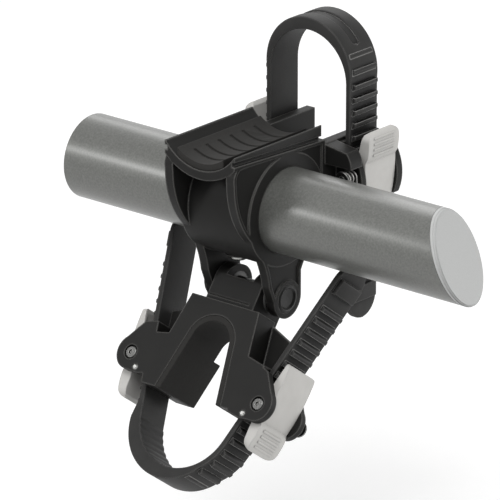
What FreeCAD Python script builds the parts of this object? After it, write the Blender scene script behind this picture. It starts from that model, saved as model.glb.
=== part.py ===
import FreeCAD, Part
import math
import os
from FreeCAD import Placement, Rotation, Vector

os.makedirs("parts", exist_ok=True)

# Driving dimensions, in millimetres. X runs along the arm, from the cradle's front face, and Z is up.
# Every piece is moved by ARM_BACK as it is written, so that the origin is the arm's inboard end.

# Fits between pieces
CLEAR = 0.3                  # between pieces that move past each other
SEAT = 0.1                   # between pieces that are fixed together
RUNNING = 0.05               # radial, a pin in its bearing

# Arm tube
ARM_R = 19.05
ARM_WALL = 2.1
ARM_BACK = 112.0             # inboard end to the cradle's front face
ARM_FRONT = 91.5             # cradle's front face to the oblique end, on the axis
END_RAKE = 0.50              # how far the oblique end runs back for each mm up
END_SKEW = 0.28              # and for each mm to the side
INSERT_LENGTH = 30.0
INSERT_THREAD_R = 5.0
PLUG_LENGTH = 16.0
PLUG_WALL = 2.0
PLUG_CAP = 2.6

# Cradle
CRADLE_LENGTH = 39.0
SLEEVE_R = 25.3
FLANGE = 4.5
FLANGE_TOP = 26.5
FLANGE_FALL = 0.052         # how far the top edge falls for each mm along the saddle
FLANGE_LEFT = -35.3
GROOVE = 2.2                 # between the flange's top edge and the saddle's wing
GROOVE_DEPTH = 1.5
FLANGE_RIGHT = 25.7
RIM_WIDTH = 1.6
RIM_HEIGHT = 0.9
SADDLE_RIGHT = 23.0
STATION_SET = 1.5            # how far a station's wall stands back from the strap's inner face
STATION_HEAD = 14.5          # the wall's top and foot from the lever's pin
STATION_FOOT = 13.6
SADDLE_RIM = 32.6            # top of the saddle's wings
SADDLE_WALL = 4.2
SCREW_X = -27.0
SCREW_R = 2.9
SCREW_HEAD_R = 4.4
SCREW_HEAD = 2.3
SCREW_BITE = 4.0             # screw's length past the inside of the arm
SCREW_BOSS = 0.9

# Bike tube that the saddle takes, and the pad under it
BIKE_TUBE_R = 21.0
BIKE_TUBE_Z = 47.0
PAD = 3.0
PAD_HALF = 13.0
PAD_GROOVES = 6

# Cage pivot
PIVOT_Y = 0.5
PIVOT_Z = -41.0
PIVOT_R = 4.0
PIVOT_HEAD_R = 6.3
PIVOT_HEAD = 3.0
EAR_R = 9.0
EAR_RING = 1.9
PIVOT_CAP = 3.2
BUSH_WALL = 2.0
BUSH_FLANGE_R = 8.4
BUSH_FLANGE = 1.0
WASHER = 0.8
WASHER_R = 8.6

# Cage: it hangs at a slant, and its own frame has its height along the fork
CAGE_SLANT = 36.0
FORK_TOP = -11.8
BLOCK_FACE = 11.0            # pivot to the face of the hinge block that looks out from the arm
BLOCK_BACK = 9.0             # and to the face behind it
BLOCK_TOP = 9.0
KNUCKLE = 5.6                # length of each of the hinge block's two eyes
KNUCKLE_FOOT = 1.0           # level of the block's top between them
ARCH_TOP = -18.0
ARCH_R = 13.2
ARCH_FOOT = -56.0
ARCH_FOOT_HALF = 18.6
LINER = 2.8
LEG_TOP = -31.5
NECK_PLATE = -1.0            # back of the neck's wide front plate; behind it, the neck is narrow
NECK_SIDE = 8.0              # how much narrower, on each side
GUSSET = 4.0
SEAM_LEVEL = -9.0
SEAM = 0.7

# Straps: a toothed ribbon round a loop, with two straight ends
STRAP_WIDTH = 19.0
STRAP_BASE = 2.6
TOOTH = 1.8
TOOTH_WIDTH = 15.7
TOOTH_PITCH = 5.75
TOOTH_FOOT = 2.9
TOOTH_LAND = 1.7
TIP_PAD_LENGTH = 17.0
MAIN_Y = 47.0
MAIN_TO_PIN = 38.0           # from the loop's side down to the lever's pin
MAIN_TAIL = 109.0
MAIN_SMOOTH = 48.0           # half angle of the loop without teeth, in degrees
MAIN_SWELL = 5.8             # thickness where the loop is thickest
MAIN_RISE = 3.0              # outer arc's centre from the loop's centre
MAIN_LEAN = 0.0              # degrees from the crown to the thickest place
SWAY_R = 24.0
SWAY_SPLAY = 15.0            # degrees that each end leans out
SWAY_TO_PIN = 22.0
SWAY_PIN_LEVEL = -48.0
SWAY_TAIL = 95.0
SWAY_SMOOTH = 14.0
SWAY_SWELL = 6.8
SWAY_RISE = 5.1
SWAY_LEAN = -35.0
SWELL_RUN_OUT = 8.0          # thick end of a loop down to the plain strap
SLOT_WIDTH = 5.0
SLOT_DEPTH = 0.8
SLOT_HALF = 45.0             # half the slot's length along the loop, in degrees

# Buckle: H is the height above the strap's inner face
PIN_H = 8.0
PIN_R = 1.5
PIN_HEAD_R = 2.7
PIN_HEAD = 1.3
HEAD_ROOM = 0.6
LEVER_HALF = 10.4
LEVER_FLANGE = 1.5
LEVER_SKIN = 2.3
LEVER_TAIL = 21.5
LEVER_TIP = 18.8
LEVER_CORNER = 4.5
HUB_R = 3.0
RIDGE_R = 0.75
RIDGE_AT = 8.4
RIDGE_PITCH = 2.5
RIDGES = 4
CHEEK = 3.6
WEB = 3.0
SHROUD = 7.8
SHROUD_AT = 5.2              # the spring's room ends here, on the loop side of the pin
CHEEK_TAIL = 14.0
CHEEK_LOOP = 11.5
CAGE_CHEEK_LOOP = 9.7
CHEEK_RIM = 0.7
FLOOR = 3.5
PAWL_GAP = 0.4
PAWL_AT = -5.9
PAWL_NOSE = 0.45
PAWL_SLACK = 1.3             # from the pawl's nose to the steep face of the tooth that it holds
GUIDE_R = 1.3
GUIDE_AT = 7.0
GUIDE_H = 4.2
GUIDE_PROUD = 0.5
SPRING_WIRE = 0.9
SPRING_R = 2.75
SPRING_PITCH = 2.1
SPRING_QUARTERS = 9
SPRING_LEG = 3.6
RETAINER = 0.9
RETAINER_R = 3.6

MID = -CRADLE_LENGTH / 2
ARM_BORE_R = ARM_R - ARM_WALL
X_AXIS = Vector(1, 0, 0)
Y_AXIS = Vector(0, 1, 0)
Z_AXIS = Vector(0, 0, 1)

# Frames: the straps' own frames have the loop's centre as origin and the loop's crown up
CAGE = Placement(Vector(0, PIVOT_Y, PIVOT_Z), Rotation(X_AXIS, -CAGE_SLANT))
HALF_TURN = Placement(Vector(0, 0, 0), Rotation(Z_AXIS, 180))


def save(name, shape, place=Placement()):
    """Put a piece in its place, check that it is sound, and write it."""
    piece = shape.copy()
    piece.Placement = Placement(Vector(ARM_BACK, 0, 0), Rotation()) * place * piece.Placement
    assert piece.isValid() and piece.Volume > 0, name
    piece.exportStep("parts/" + name + ".step")
    print(name, len(piece.Solids), "solid", round(piece.Volume), "mm3")


def across(x):
    """The plane at x, with points as (y, z)."""
    return lambda y, z: Vector(x, y, z)


def along(y):
    """The plane at y, with points as (x, z)."""
    return lambda x, z: Vector(x, y, z)


def outline(plane, start, *steps):
    """A face bounded by straight steps, each a point, and arcs, each a pair: through, end."""
    edges = []
    first = plane(*start)
    here = first
    for step in steps:
        if isinstance(step[0], tuple):
            through = plane(*step[0])
            end = plane(*step[1])
            edges.append(Part.Arc(here, through, end).toShape())
        else:
            end = plane(*step)
            if here.distanceToPoint(end) < 0.001:
                continue
            edges.append(Part.LineSegment(here, end).toShape())
        here = end
    if here.distanceToPoint(first) > 0.001:
        edges.append(Part.LineSegment(here, first).toShape())
    return Part.Face(Part.Wire(edges))


def box(low, high):
    size = Vector(*high) - Vector(*low)
    return Part.makeBox(size.x, size.y, size.z, Vector(*low))


def rod(radius, start, end):
    """A cylinder from one point to another."""
    way = Vector(*end) - Vector(*start)
    return Part.makeCylinder(radius, way.Length, Vector(*start), way)


def turned(centre, axis, profile):
    """A solid of revolution about an axis. The profile is a list of (along, radius) from axis to axis."""
    side = Vector(0, 0, 1)
    points = [centre + axis * run + side * radius for run, radius in profile]
    face = Part.Face(Part.makePolygon(points + points[:1]))
    return face.revolve(centre, axis, 360)


def moved(shape, place):
    copy = shape.copy()
    copy.Placement = place * copy.Placement
    return copy


def mirrored(shape):
    """The same shape on the other side of the cradle's middle."""
    return shape.mirror(Vector(MID, 0, 0), X_AXIS)


def edges_along(shape, direction, keep):
    """Straight edges in one direction whose middle the test keeps."""
    found = []
    for edge in shape.Edges:
        if len(edge.Vertexes) != 2:
            continue
        way = edge.Vertexes[1].Point - edge.Vertexes[0].Point
        if way.Length < 0.01 or abs(way.Length - edge.Length) > 0.001:
            continue
        if way.normalize().cross(direction).Length < 0.001 and keep(edge.CenterOfMass):
            found.append(edge)
    return found


# The arm: a round tube with an oblique outer end, and a threaded insert in its inboard end
def oblique(offset):
    """Everything past the oblique end, moved out along the arm by offset."""
    normal = Vector(1, END_SKEW, END_RAKE)
    return Part.makeCylinder(6 * ARM_R, 6 * ARM_R, Vector(ARM_FRONT + offset, 0, 0), normal)


def arm_tube():
    reach = ARM_FRONT + 2 * ARM_R
    tube = rod(ARM_R, (-ARM_BACK, 0, 0), (reach, 0, 0))
    tube = tube.cut(rod(ARM_BORE_R, (-ARM_BACK, 0, 0), (reach, 0, 0)))
    tube = tube.cut(oblique(0))
    return tube.cut(rod(SCREW_R + SEAT, (SCREW_X, 0, -ARM_R - 1), (SCREW_X, 0, 0)))


def arm_insert():
    outer = ARM_BORE_R - SEAT
    profile = [
        (0, INSERT_THREAD_R),
        (0, outer - 1.0),
        (1.0, outer),
        (INSERT_LENGTH - 1.0, outer),
        (INSERT_LENGTH, outer - 1.0),
        (INSERT_LENGTH, INSERT_THREAD_R),
    ]
    return turned(Vector(-ARM_BACK, 0, 0), X_AXIS, profile)


def arm_end_plug():
    reach = ARM_FRONT + 2 * ARM_R
    skirt = rod(ARM_BORE_R - SEAT, (ARM_FRONT - PLUG_LENGTH - ARM_R / 2, 0, 0), (reach, 0, 0))
    hollow = rod(ARM_BORE_R - SEAT - PLUG_WALL, (0, 0, 0), (reach, 0, 0)).cut(oblique(-PLUG_CAP))
    plug = skirt
    for share, step_in in ((0.55, 0.0), (0.85, 0.35), (1.0, 0.9)):
        plug = plug.cut(oblique(SEAT + PLUG_CAP * share))
        slab = rod(ARM_R - step_in, (0, 0, 0), (reach, 0, 0)).common(oblique(SEAT))
        plug = plug.fuse(slab.cut(oblique(SEAT + PLUG_CAP * share)))
    return plug.cut([hollow, oblique(SEAT + PLUG_CAP)]).removeSplitter()


# The buckle, in its own frame: X is the height above the strap's inner face, Z runs towards the loop
SPRING_FACE = LEVER_HALF + CLEAR + WEB
SHROUD_FACE = SPRING_FACE + SHROUD
PLAIN_FACE = LEVER_HALF + CLEAR + CHEEK
SPRING_ROOM = 2 * CLEAR + SPRING_PITCH * (SPRING_QUARTERS / 4 + SPRING_LEG / SPRING_R / 2 / math.pi) + 1.3 * SPRING_WIRE
PAWL_TIP = STRAP_BASE + PAWL_GAP


def station_cheek(plane):
    """Side view of a cheek on the cradle, from the floor's level to its round back."""
    return outline(
        plane,
        (-FLOOR, -CHEEK_TAIL),
        (10.9, -CHEEK_TAIL),
        ((13.0, -3.0), (9.0, 8.0)),
        (2.5, CHEEK_LOOP),
        (-FLOOR, CHEEK_LOOP + 1.0),
    )


def cage_cheek(plane):
    """Side view of a cheek on the cage: round about the pin, and slanted towards its tail."""
    return outline(
        plane,
        (-FLOOR, -CHEEK_TAIL),
        (2.8, -CHEEK_TAIL),
        (10.9, -7.2),
        ((15.3, 0.6), (13.6, 5.2)),
        ((11.5, 7.0), (8.3, 8.0)),
        (3.6, CAGE_CHEEK_LOOP),
        (-FLOOR, CAGE_CHEEK_LOOP + 0.5),
    )


def shroud_outline(plane):
    """Side view of the block on the loop side of the spring."""
    return outline(
        plane,
        (-FLOOR, SHROUD_AT),
        (13.0, SHROUD_AT),
        ((12.4, 9.4), (10.4, STATION_HEAD - 2.1)),
        (2.5, STATION_HEAD - 1.0),
        (-FLOOR, STATION_HEAD),
    )


def buckle_frame(cheek, loop_end):
    """What the moulding has at a buckle: a floor between two cheeks."""
    plain = cheek(along(PLAIN_FACE - CHEEK)).extrude(Y_AXIS * CHEEK)
    web = cheek(along(-SPRING_FACE)).extrude(Y_AXIS * WEB)
    floor = box((-CLEAR - FLOOR, -SPRING_FACE, -CHEEK_TAIL), (-CLEAR, PLAIN_FACE, loop_end))
    return floor.fuse([plain, web])


def station_frame():
    """A buckle on the cradle: it also has the shroud, and a sunk panel in its plain cheek."""
    shroud = shroud_outline(along(-SHROUD_FACE)).extrude(Y_AXIS * SHROUD)
    sunk = station_cheek(along(PLAIN_FACE - CHEEK_RIM)).makeOffset2D(-RIM_WIDTH).extrude(Y_AXIS * CHEEK_RIM)
    boss = rod(PIN_HEAD_R + RIM_WIDTH, (PIN_H, PLAIN_FACE - CHEEK_RIM, 0), (PIN_H, PLAIN_FACE, 0))
    frame = buckle_frame(station_cheek, CHEEK_LOOP + 1.0).fuse(shroud)
    return frame.cut(sunk.cut(boss)).removeSplitter()


def buckle_holes():
    """What is bored through the moulding at a buckle."""
    depth = PLAIN_FACE - PIN_HEAD - SEAT - CLEAR
    pin = rod(PIN_R + RUNNING, (PIN_H, -SHROUD_FACE, 0), (PIN_H, PLAIN_FACE, 0))
    head = rod(PIN_HEAD_R + HEAD_ROOM, (PIN_H, depth, 0), (PIN_H, PLAIN_FACE + 1, 0))
    guide_start = LEVER_HALF - CLEAR
    guide = rod(GUIDE_R + SEAT / 2, (GUIDE_H, guide_start, GUIDE_AT), (GUIDE_H, PLAIN_FACE + 1, GUIDE_AT))
    return [pin, head, guide]


def lever():
    """Thumb lever: a shell with two flanges on the pin, a ribbed wedge to press and a pawl."""
    low = -LEVER_HALF
    width = 2 * LEVER_HALF
    side = outline(
        along(low),
        (6.4, -LEVER_TAIL),
        (8.2, -LEVER_TAIL),
        ((10.7, -11.0), (12.0, 0.0)),
        (12.1, 5.2),
        (13.2, 7.0),
        ((14.0, 12.0), (14.0, 15.5)),
        ((13.4, 17.8), (12.0, LEVER_TIP)),
        (10.3, 17.4),
        (8.6, 10.5),
        (8.0, 7.2),
        (5.6, 2.6),
        ((PIN_H - HUB_R, 0.3), (6.0, -2.3)),
        (6.4, -12.0),
    )
    shell = side.extrude(Y_AXIS * width)
    channel = outline(
        along(low + LEVER_FLANGE),
        (0.0, -LEVER_TAIL - 1),
        (8.2 - LEVER_SKIN, -LEVER_TAIL - 1),
        (8.2 - LEVER_SKIN, -LEVER_TAIL),
        ((10.7 - LEVER_SKIN, -11.0), (12.0 - LEVER_SKIN, 0.0)),
        (12.1 - LEVER_SKIN, 4.0),
        (0.0, 4.0),
    ).extrude(Y_AXIS * (width - 2 * LEVER_FLANGE))
    shell = shell.cut(channel)
    # Thumb ridges across the wedge
    ridge_half = TOOTH_WIDTH / 2 - 1.0
    ridges = []
    for step in range(RIDGES):
        level = RIDGE_AT + step * RIDGE_PITCH
        height = 13.65 - 0.018 * (level - 13.7) ** 2
        ridges.append(rod(RIDGE_R, (height, -ridge_half, level), (height, ridge_half, level)))
    shell = shell.fuse(ridges)
    # Pawl: it reaches down into a gap between two teeth, on the tail side of the pin
    pawl_half = TOOTH_WIDTH / 2 - 0.6
    pawl = outline(
        along(-pawl_half),
        (PAWL_TIP, PAWL_AT + PAWL_NOSE),
        (PAWL_TIP, PAWL_AT - PAWL_NOSE),
        (STRAP_BASE + TOOTH + CLEAR, PAWL_AT - PAWL_NOSE),
        (6.2, PAWL_AT - 1.3),
        (9.8, PAWL_AT - 1.9),
        (9.8, PAWL_AT + 2.6),
        (6.2, PAWL_AT + 1.4),
    ).extrude(Y_AXIS * 2 * pawl_half)
    shell = shell.fuse(pawl)
    shell = shell.cut(rod(PIN_R + RUNNING, (PIN_H, low - 1, 0), (PIN_H, -low + 1, 0)))
    # Round corners, seen from above
    blank = box((0, LEVER_HALF - LEVER_CORNER, LEVER_TIP - LEVER_CORNER), (20, LEVER_HALF + 1, LEVER_TIP + 1))
    round_r = (LEVER_HALF - LEVER_CORNER, LEVER_TIP - LEVER_CORNER)
    corner = blank.cut(rod(LEVER_CORNER, (-1, *round_r), (21, *round_r)))
    shell = shell.cut([corner, corner.mirror(Vector(0, 0, 0), Y_AXIS)]).removeSplitter()
    corners = edges_along(shell, X_AXIS, lambda at: at.z < -LEVER_TAIL + 0.01)
    corners = [edge for edge in corners if abs(edge.CenterOfMass.y) > LEVER_HALF - 0.01]
    return shell.makeFillet(1.4, corners)


def lever_pin():
    """Pivot pin with a flat head in the plain cheek, through to the spring."""
    end = SPRING_FACE + SPRING_ROOM + RETAINER + SEAT
    top = PLAIN_FACE - SEAT
    profile = [
        (-end, 0),
        (-end, PIN_R - SEAT),
        (-end + SEAT, PIN_R),
        (top - PIN_HEAD, PIN_R),
        (top - PIN_HEAD, PIN_HEAD_R),
        (top - 0.3, PIN_HEAD_R),
        (top, PIN_HEAD_R - 0.4),
        (top, 1.1),
        (top - 0.8, 0.9),
        (top - 0.8, 0),
    ]
    return turned(Vector(PIN_H, 0, 0), Y_AXIS, profile)


def lever_retainer():
    """Ring pushed on the pin's end, over the spring."""
    inner = PIN_R + SEAT / 2
    profile = [(0, inner), (0, RETAINER_R - 0.3), (0.3, RETAINER_R), (RETAINER, RETAINER_R), (RETAINER, inner)]
    return turned(Vector(PIN_H, -SPRING_FACE - SPRING_ROOM - RETAINER, 0), Y_AXIS, profile)


def guide_pin():
    """Short pin in the plain cheek: the strap's edge runs on it, and it stops the pressed lever."""
    top = PLAIN_FACE + GUIDE_PROUD
    end = STRAP_WIDTH / 2 + CLEAR
    profile = [
        (end, 0),
        (end, GUIDE_R),
        (top - 0.5, GUIDE_R),
        (top, GUIDE_R - 0.5),
        (top, 0),
    ]
    return turned(Vector(GUIDE_H, 0, GUIDE_AT), Y_AXIS, profile)


def biarc(start, start_way, end, end_way):
    """Two arcs that leave one point and reach another along the given directions."""
    gap = end - start
    ways = start_way + end_way
    a = 2 * (1 - start_way.dot(end_way))
    b = 2 * gap.dot(ways)
    c = -gap.dot(gap)
    reach = (-b + math.sqrt(b * b - 4 * a * c)) / (2 * a)
    knee = (start + start_way * reach + end - end_way * reach) * 0.5
    return [tangent_arc(start, start_way, knee), tangent_arc(end, end_way * -1, knee)]


def tangent_arc(start, way, end):
    """Arc from start, leaving along way, to end."""
    chord = end - start
    along_way = way.dot(chord)
    across_way = chord - way * along_way
    radius = chord.dot(chord) / (2 * across_way.Length)
    centre = start + across_way.normalize() * radius
    middle = (start + end) * 0.5 - centre
    return Part.Arc(start, centre + middle.normalize() * radius, end)


def lever_spring():
    """Torsion spring on the pin: one wire, with a straight leg at each end."""
    rise = SPRING_PITCH / 4
    slope = SPRING_PITCH / (2 * math.pi * SPRING_R)
    first = -SPRING_FACE - CLEAR - SPRING_WIRE / 2 - slope * SPRING_LEG

    def at(quarter):
        turn = math.pi / 2 * quarter
        return Vector(PIN_H + SPRING_R * math.cos(turn), first - rise * quarter, SPRING_R * math.sin(turn))

    def heading(quarter):
        turn = math.pi / 2 * quarter
        return Vector(-math.sin(turn), -slope, math.cos(turn)).normalize()

    edges = [Part.LineSegment(at(0) - heading(0) * SPRING_LEG, at(0)).toShape()]
    for quarter in range(SPRING_QUARTERS):
        for arc in biarc(at(quarter), heading(quarter), at(quarter + 1), heading(quarter + 1)):
            edges.append(arc.toShape())
    last = at(SPRING_QUARTERS)
    edges.append(Part.LineSegment(last, last + heading(SPRING_QUARTERS) * SPRING_WIRE).toShape())
    path = Part.Wire(Part.__sortEdges__(edges))
    start = at(0) - heading(0) * SPRING_LEG
    section = Part.Wire(Part.makeCircle(SPRING_WIRE / 2, start, heading(0)))
    print("spring's least gap to itself", round(SPRING_PITCH - SPRING_WIRE, 2))
    return path.makePipeShell([section], True, False)


# A strap, in its own frame: the loop's centre is the origin, its crown is up, its ends run down
def strap_spot(radius, splay, distance):
    """Where a strap's inner face is, so far from the crown, as a buckle frame's placement."""
    side = math.radians(90 - splay)
    if distance < radius * side:
        turn = distance / radius
        spot = Vector(radius * math.sin(turn), 0, radius * math.cos(turn))
        return Placement(spot, Rotation(Y_AXIS, math.degrees(turn) - 90))
    run = distance - radius * side
    x = radius * math.sin(side) + run * math.cos(side)
    z = radius * math.cos(side) - run * math.sin(side)
    return Placement(Vector(x, 0, z), Rotation(Y_AXIS, -splay))


def ribbon(radius, splay, tail, low, high, width):
    """Length of strap between two heights above its inner face, ends included."""
    side = math.radians(90 - splay)

    def on_arc(height, turn):
        return ((radius + height) * math.sin(turn), (radius + height) * math.cos(turn))

    def at_end(height, sign):
        x, z = on_arc(height, side)
        return (sign * (x + tail * math.cos(side)), z - tail * math.sin(side))

    face = outline(
        along(-width / 2),
        at_end(low, -1),
        on_arc(low, -side),
        (on_arc(low, 0), on_arc(low, side)),
        at_end(low, 1),
        at_end(high, 1),
        on_arc(high, side),
        (on_arc(high, 0), on_arc(high, -side)),
        at_end(high, -1),
    )
    return face.extrude(Y_AXIS * width)


def sector(radius, half_angle):
    """Everything round the crown, out to so many degrees on each side."""
    reach = 2 * radius
    side = math.radians(half_angle)
    return outline(
        along(-STRAP_WIDTH),
        (0, 0),
        (reach * math.sin(side), reach * math.cos(side)),
        (0, 2 * reach),
        (-reach * math.sin(side), reach * math.cos(side)),
    ).extrude(Y_AXIS * 2 * STRAP_WIDTH)


def swell_rod(radius, swell, rise, lean, width):
    """A cylinder on the loop's outer arc, whose centre is off the loop's own."""
    x = rise * math.sin(math.radians(lean))
    z = rise * math.cos(math.radians(lean))
    return rod(radius + swell - rise, (x, -width / 2, z), (x, width / 2, z))


def loop_swell(radius, splay, swell, rise, lean):
    """What makes the loop thicker than the ends, with a taper down to the end that is still thick."""
    inner = rod(radius + STRAP_BASE / 2, (0, -STRAP_WIDTH, 0), (0, STRAP_WIDTH, 0))
    thick = swell_rod(radius, swell, rise, lean, STRAP_WIDTH).cut(inner)
    thick = thick.common(sector(radius, 90 - splay))
    angle = math.radians(-90 + splay - lean)
    outer = radius + swell - rise
    at_side = rise * math.cos(angle) + math.sqrt(outer ** 2 - (rise * math.sin(angle)) ** 2) - radius
    if at_side < STRAP_BASE + 0.1:
        return [thick]
    taper = outline(
        along(-STRAP_WIDTH / 2),
        (STRAP_BASE / 2, 0),
        (at_side, 0),
        (STRAP_BASE, -SWELL_RUN_OUT),
        (STRAP_BASE / 2, -SWELL_RUN_OUT),
    ).extrude(Y_AXIS * STRAP_WIDTH)
    return [thick, moved(taper, HALF_TURN * strap_spot(radius, splay, radius * math.radians(90 - splay)))]


def loop_slot(radius, swell, rise, lean):
    """Shallow slot with round ends along the loop's crown."""
    shell = swell_rod(radius, swell + 1, rise, lean, 2 * STRAP_WIDTH)
    shell = shell.cut(swell_rod(radius, swell - SLOT_DEPTH, rise, lean, 3 * STRAP_WIDTH))
    strip = sector(radius, SLOT_HALF).common(box((-99, -SLOT_WIDTH / 2, 0), (99, SLOT_WIDTH / 2, 99)))
    reach = 2 * radius
    side = math.radians(SLOT_HALF)
    ends = []
    for x in (-math.sin(side), math.sin(side)):
        ends.append(rod(SLOT_WIDTH / 2, (0, 0, 0), (reach * x, 0, reach * math.cos(side))))
    return strip.fuse(ends).common(shell)


def strap(radius, splay, to_pin, tail, smooth, swell, rise, lean):
    """Toothed strap: ribs on both ends, a thick crown with a slot in it, and round tips."""
    half = STRAP_WIDTH / 2
    side = radius * math.radians(90 - splay)
    body = ribbon(radius, splay, tail, 0, STRAP_BASE, STRAP_WIDTH)
    tooth = outline(
        along(-TOOTH_WIDTH / 2),
        (STRAP_BASE - 0.2, 0),
        (STRAP_BASE + TOOTH, 0),
        (STRAP_BASE + TOOTH, -TOOTH_LAND),
        (STRAP_BASE - 0.2, -TOOTH_FOOT),
    ).extrude(Y_AXIS * TOOTH_WIDTH)
    held = side + to_pin - PAWL_AT + PAWL_NOSE + PAWL_SLACK
    last = side + tail - TIP_PAD_LENGTH - TOOTH_FOOT
    first = radius * math.radians(smooth)
    count_up = int((held - first) / TOOTH_PITCH)
    count_down = int((last - held) / TOOTH_PITCH)
    added = []
    for step in range(-count_up, count_down + 1):
        spot = strap_spot(radius, splay, held + step * TOOTH_PITCH)
        added.append(moved(tooth, spot))
    # Smooth raised pad near each tip
    tip = box(
        (STRAP_BASE - 0.2, -TOOTH_WIDTH / 2, 0),
        (STRAP_BASE + TOOTH, TOOTH_WIDTH / 2, TIP_PAD_LENGTH - half),
    )
    added.append(moved(tip, strap_spot(radius, splay, side + tail - half + 1.0)))
    added += [moved(piece, HALF_TURN) for piece in added]
    body = body.fuse(added + loop_swell(radius, splay, swell, rise, lean))
    body = body.cut(loop_slot(radius, swell, rise, lean))
    # Round tips
    blank = box((-1, -half - 1, -1), (STRAP_BASE + TOOTH + 1, half + 1, half))
    corner = blank.cut(rod(half, (-2, 0, half), (STRAP_BASE + TOOTH + 2, 0, half)))
    corner = moved(corner, strap_spot(radius, splay, side + tail))
    body = body.cut([corner, moved(corner, HALF_TURN)])
    return body.removeSplitter()


MAIN = Placement(Vector(MID, MAIN_Y, BIKE_TUBE_Z), Rotation())
SIDE_MAIN = BIKE_TUBE_R * math.pi / 2
SIDE_SWAY = SWAY_R * math.radians(90 - SWAY_SPLAY)
FRONT_BUCKLE = strap_spot(BIKE_TUBE_R, 0, SIDE_MAIN + MAIN_TO_PIN)
CAGE_BUCKLE = strap_spot(SWAY_R, SWAY_SPLAY, SIDE_SWAY + SWAY_TO_PIN)
SWAY_CENTRE = SWAY_PIN_LEVEL + CAGE_BUCKLE.Base.z
SWAY = CAGE * Placement(Vector(MID, 0, SWAY_CENTRE), Rotation(X_AXIS, 180))
SEATS = {
    "front": MAIN * FRONT_BUCKLE,
    "rear": MAIN * HALF_TURN * FRONT_BUCKLE,
    "cage_front": SWAY * CAGE_BUCKLE,
    "cage_rear": SWAY * HALF_TURN * strap_spot(SWAY_R, SWAY_SPLAY, SIDE_SWAY + SWAY_TO_PIN + TOOTH_PITCH),
}


def seated(shape, seat, frame=Placement()):
    """A buckle's piece in its place. The rear buckles are mirror images of the front ones."""
    if "rear" in seat:
        shape = shape.mirror(Vector(0, 0, 0), Y_AXIS)
    return moved(shape, frame * SEATS[seat])


# The cradle: sleeve, two flange plates with ears, the saddle and the two strap stations
def flange_top(y):
    return FLANGE_TOP - FLANGE_FALL * y


def flange_outline(plane):
    """The flange plate seen from the arm's free end, as (y, z)."""
    ear_y = PIVOT_Y
    return outline(
        plane,
        (FLANGE_LEFT, FLANGE_TOP - 6.5),
        ((-32.3, 4.5), (-22.9, -9.6)),
        ((-15.4, -20.6), (-11.7, -33.0)),
        (ear_y - EAR_R, PIVOT_Z),
        ((ear_y, PIVOT_Z - EAR_R), (ear_y + EAR_R, PIVOT_Z)),
        (ear_y + EAR_R, -30.0),
        ((14.8, -21.5), (22.0, -12.5)),
        ((24.8, -9.0), (FLANGE_RIGHT, -5.0)),
        (FLANGE_RIGHT, flange_top(FLANGE_RIGHT)),
        (FLANGE_LEFT + 5.3, flange_top(FLANGE_LEFT + 5.3)),
        ((FLANGE_LEFT + 1.1, FLANGE_TOP - 0.9), (FLANGE_LEFT, FLANGE_TOP - 6.5)),
    )


def flange():
    plate = flange_outline(across(-FLANGE)).extrude(X_AXIS * FLANGE)
    sunk = flange_outline(across(-RIM_HEIGHT)).makeOffset2D(-RIM_WIDTH).extrude(X_AXIS * RIM_HEIGHT)
    ring = rod(PIVOT_HEAD_R + EAR_RING, (-RIM_HEIGHT, PIVOT_Y, PIVOT_Z), (0, PIVOT_Y, PIVOT_Z))
    return plate.cut(sunk.cut(ring))


def saddle():
    """Wing over the sleeve, hollowed to the bike's tube and its pad."""
    wing_r = BIKE_TUBE_R + PAD + SADDLE_WALL
    left = FLANGE_LEFT
    wing = rod(wing_r, (MID, left, BIKE_TUBE_Z), (MID, SADDLE_RIGHT, BIKE_TUBE_Z))
    return wing.common(box((-CRADLE_LENGTH, left, 0), (0, SADDLE_RIGHT, SADDLE_RIM)))


def saddle_groove():
    """Shallow groove between the flange's top edge and the wing above it."""
    left = FLANGE_LEFT - 1
    right = FLANGE_RIGHT + 1
    face = outline(
        across(-GROOVE_DEPTH),
        (left, flange_top(left)),
        (right, flange_top(right)),
        (right, flange_top(right) + GROOVE),
        (left, flange_top(left) + GROOVE),
    )
    return face.extrude(X_AXIS * (GROOVE_DEPTH + 1))


def station_bridge():
    """Plates that tie the two strap stations together, low between the flanges."""
    far = MAIN_Y + PLAIN_FACE
    tray = box((-CRADLE_LENGTH + FLANGE, 18.0, -5.0), (-FLANGE, far, -1.5))
    end = box((-CRADLE_LENGTH + FLANGE, far - 3.5, -5.0), (-FLANGE, far, 7.0))
    end_inner = box((-CRADLE_LENGTH + FLANGE, 18.0, -5.0), (-FLANGE, SADDLE_RIGHT, FLANGE_TOP - 5.0))
    return [tray, end, end_inner]


def station_wall():
    """Wall that carries a buckle's floor beside the flange."""
    foot = BIKE_TUBE_Z - MAIN_TO_PIN - STATION_FOOT
    head = BIKE_TUBE_Z - MAIN_TO_PIN + STATION_HEAD
    outer = MID + BIKE_TUBE_R - STATION_SET
    return box((outer - FLANGE, FLANGE_RIGHT - 2, foot), (outer, MAIN_Y + SPRING_FACE, head))


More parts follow.
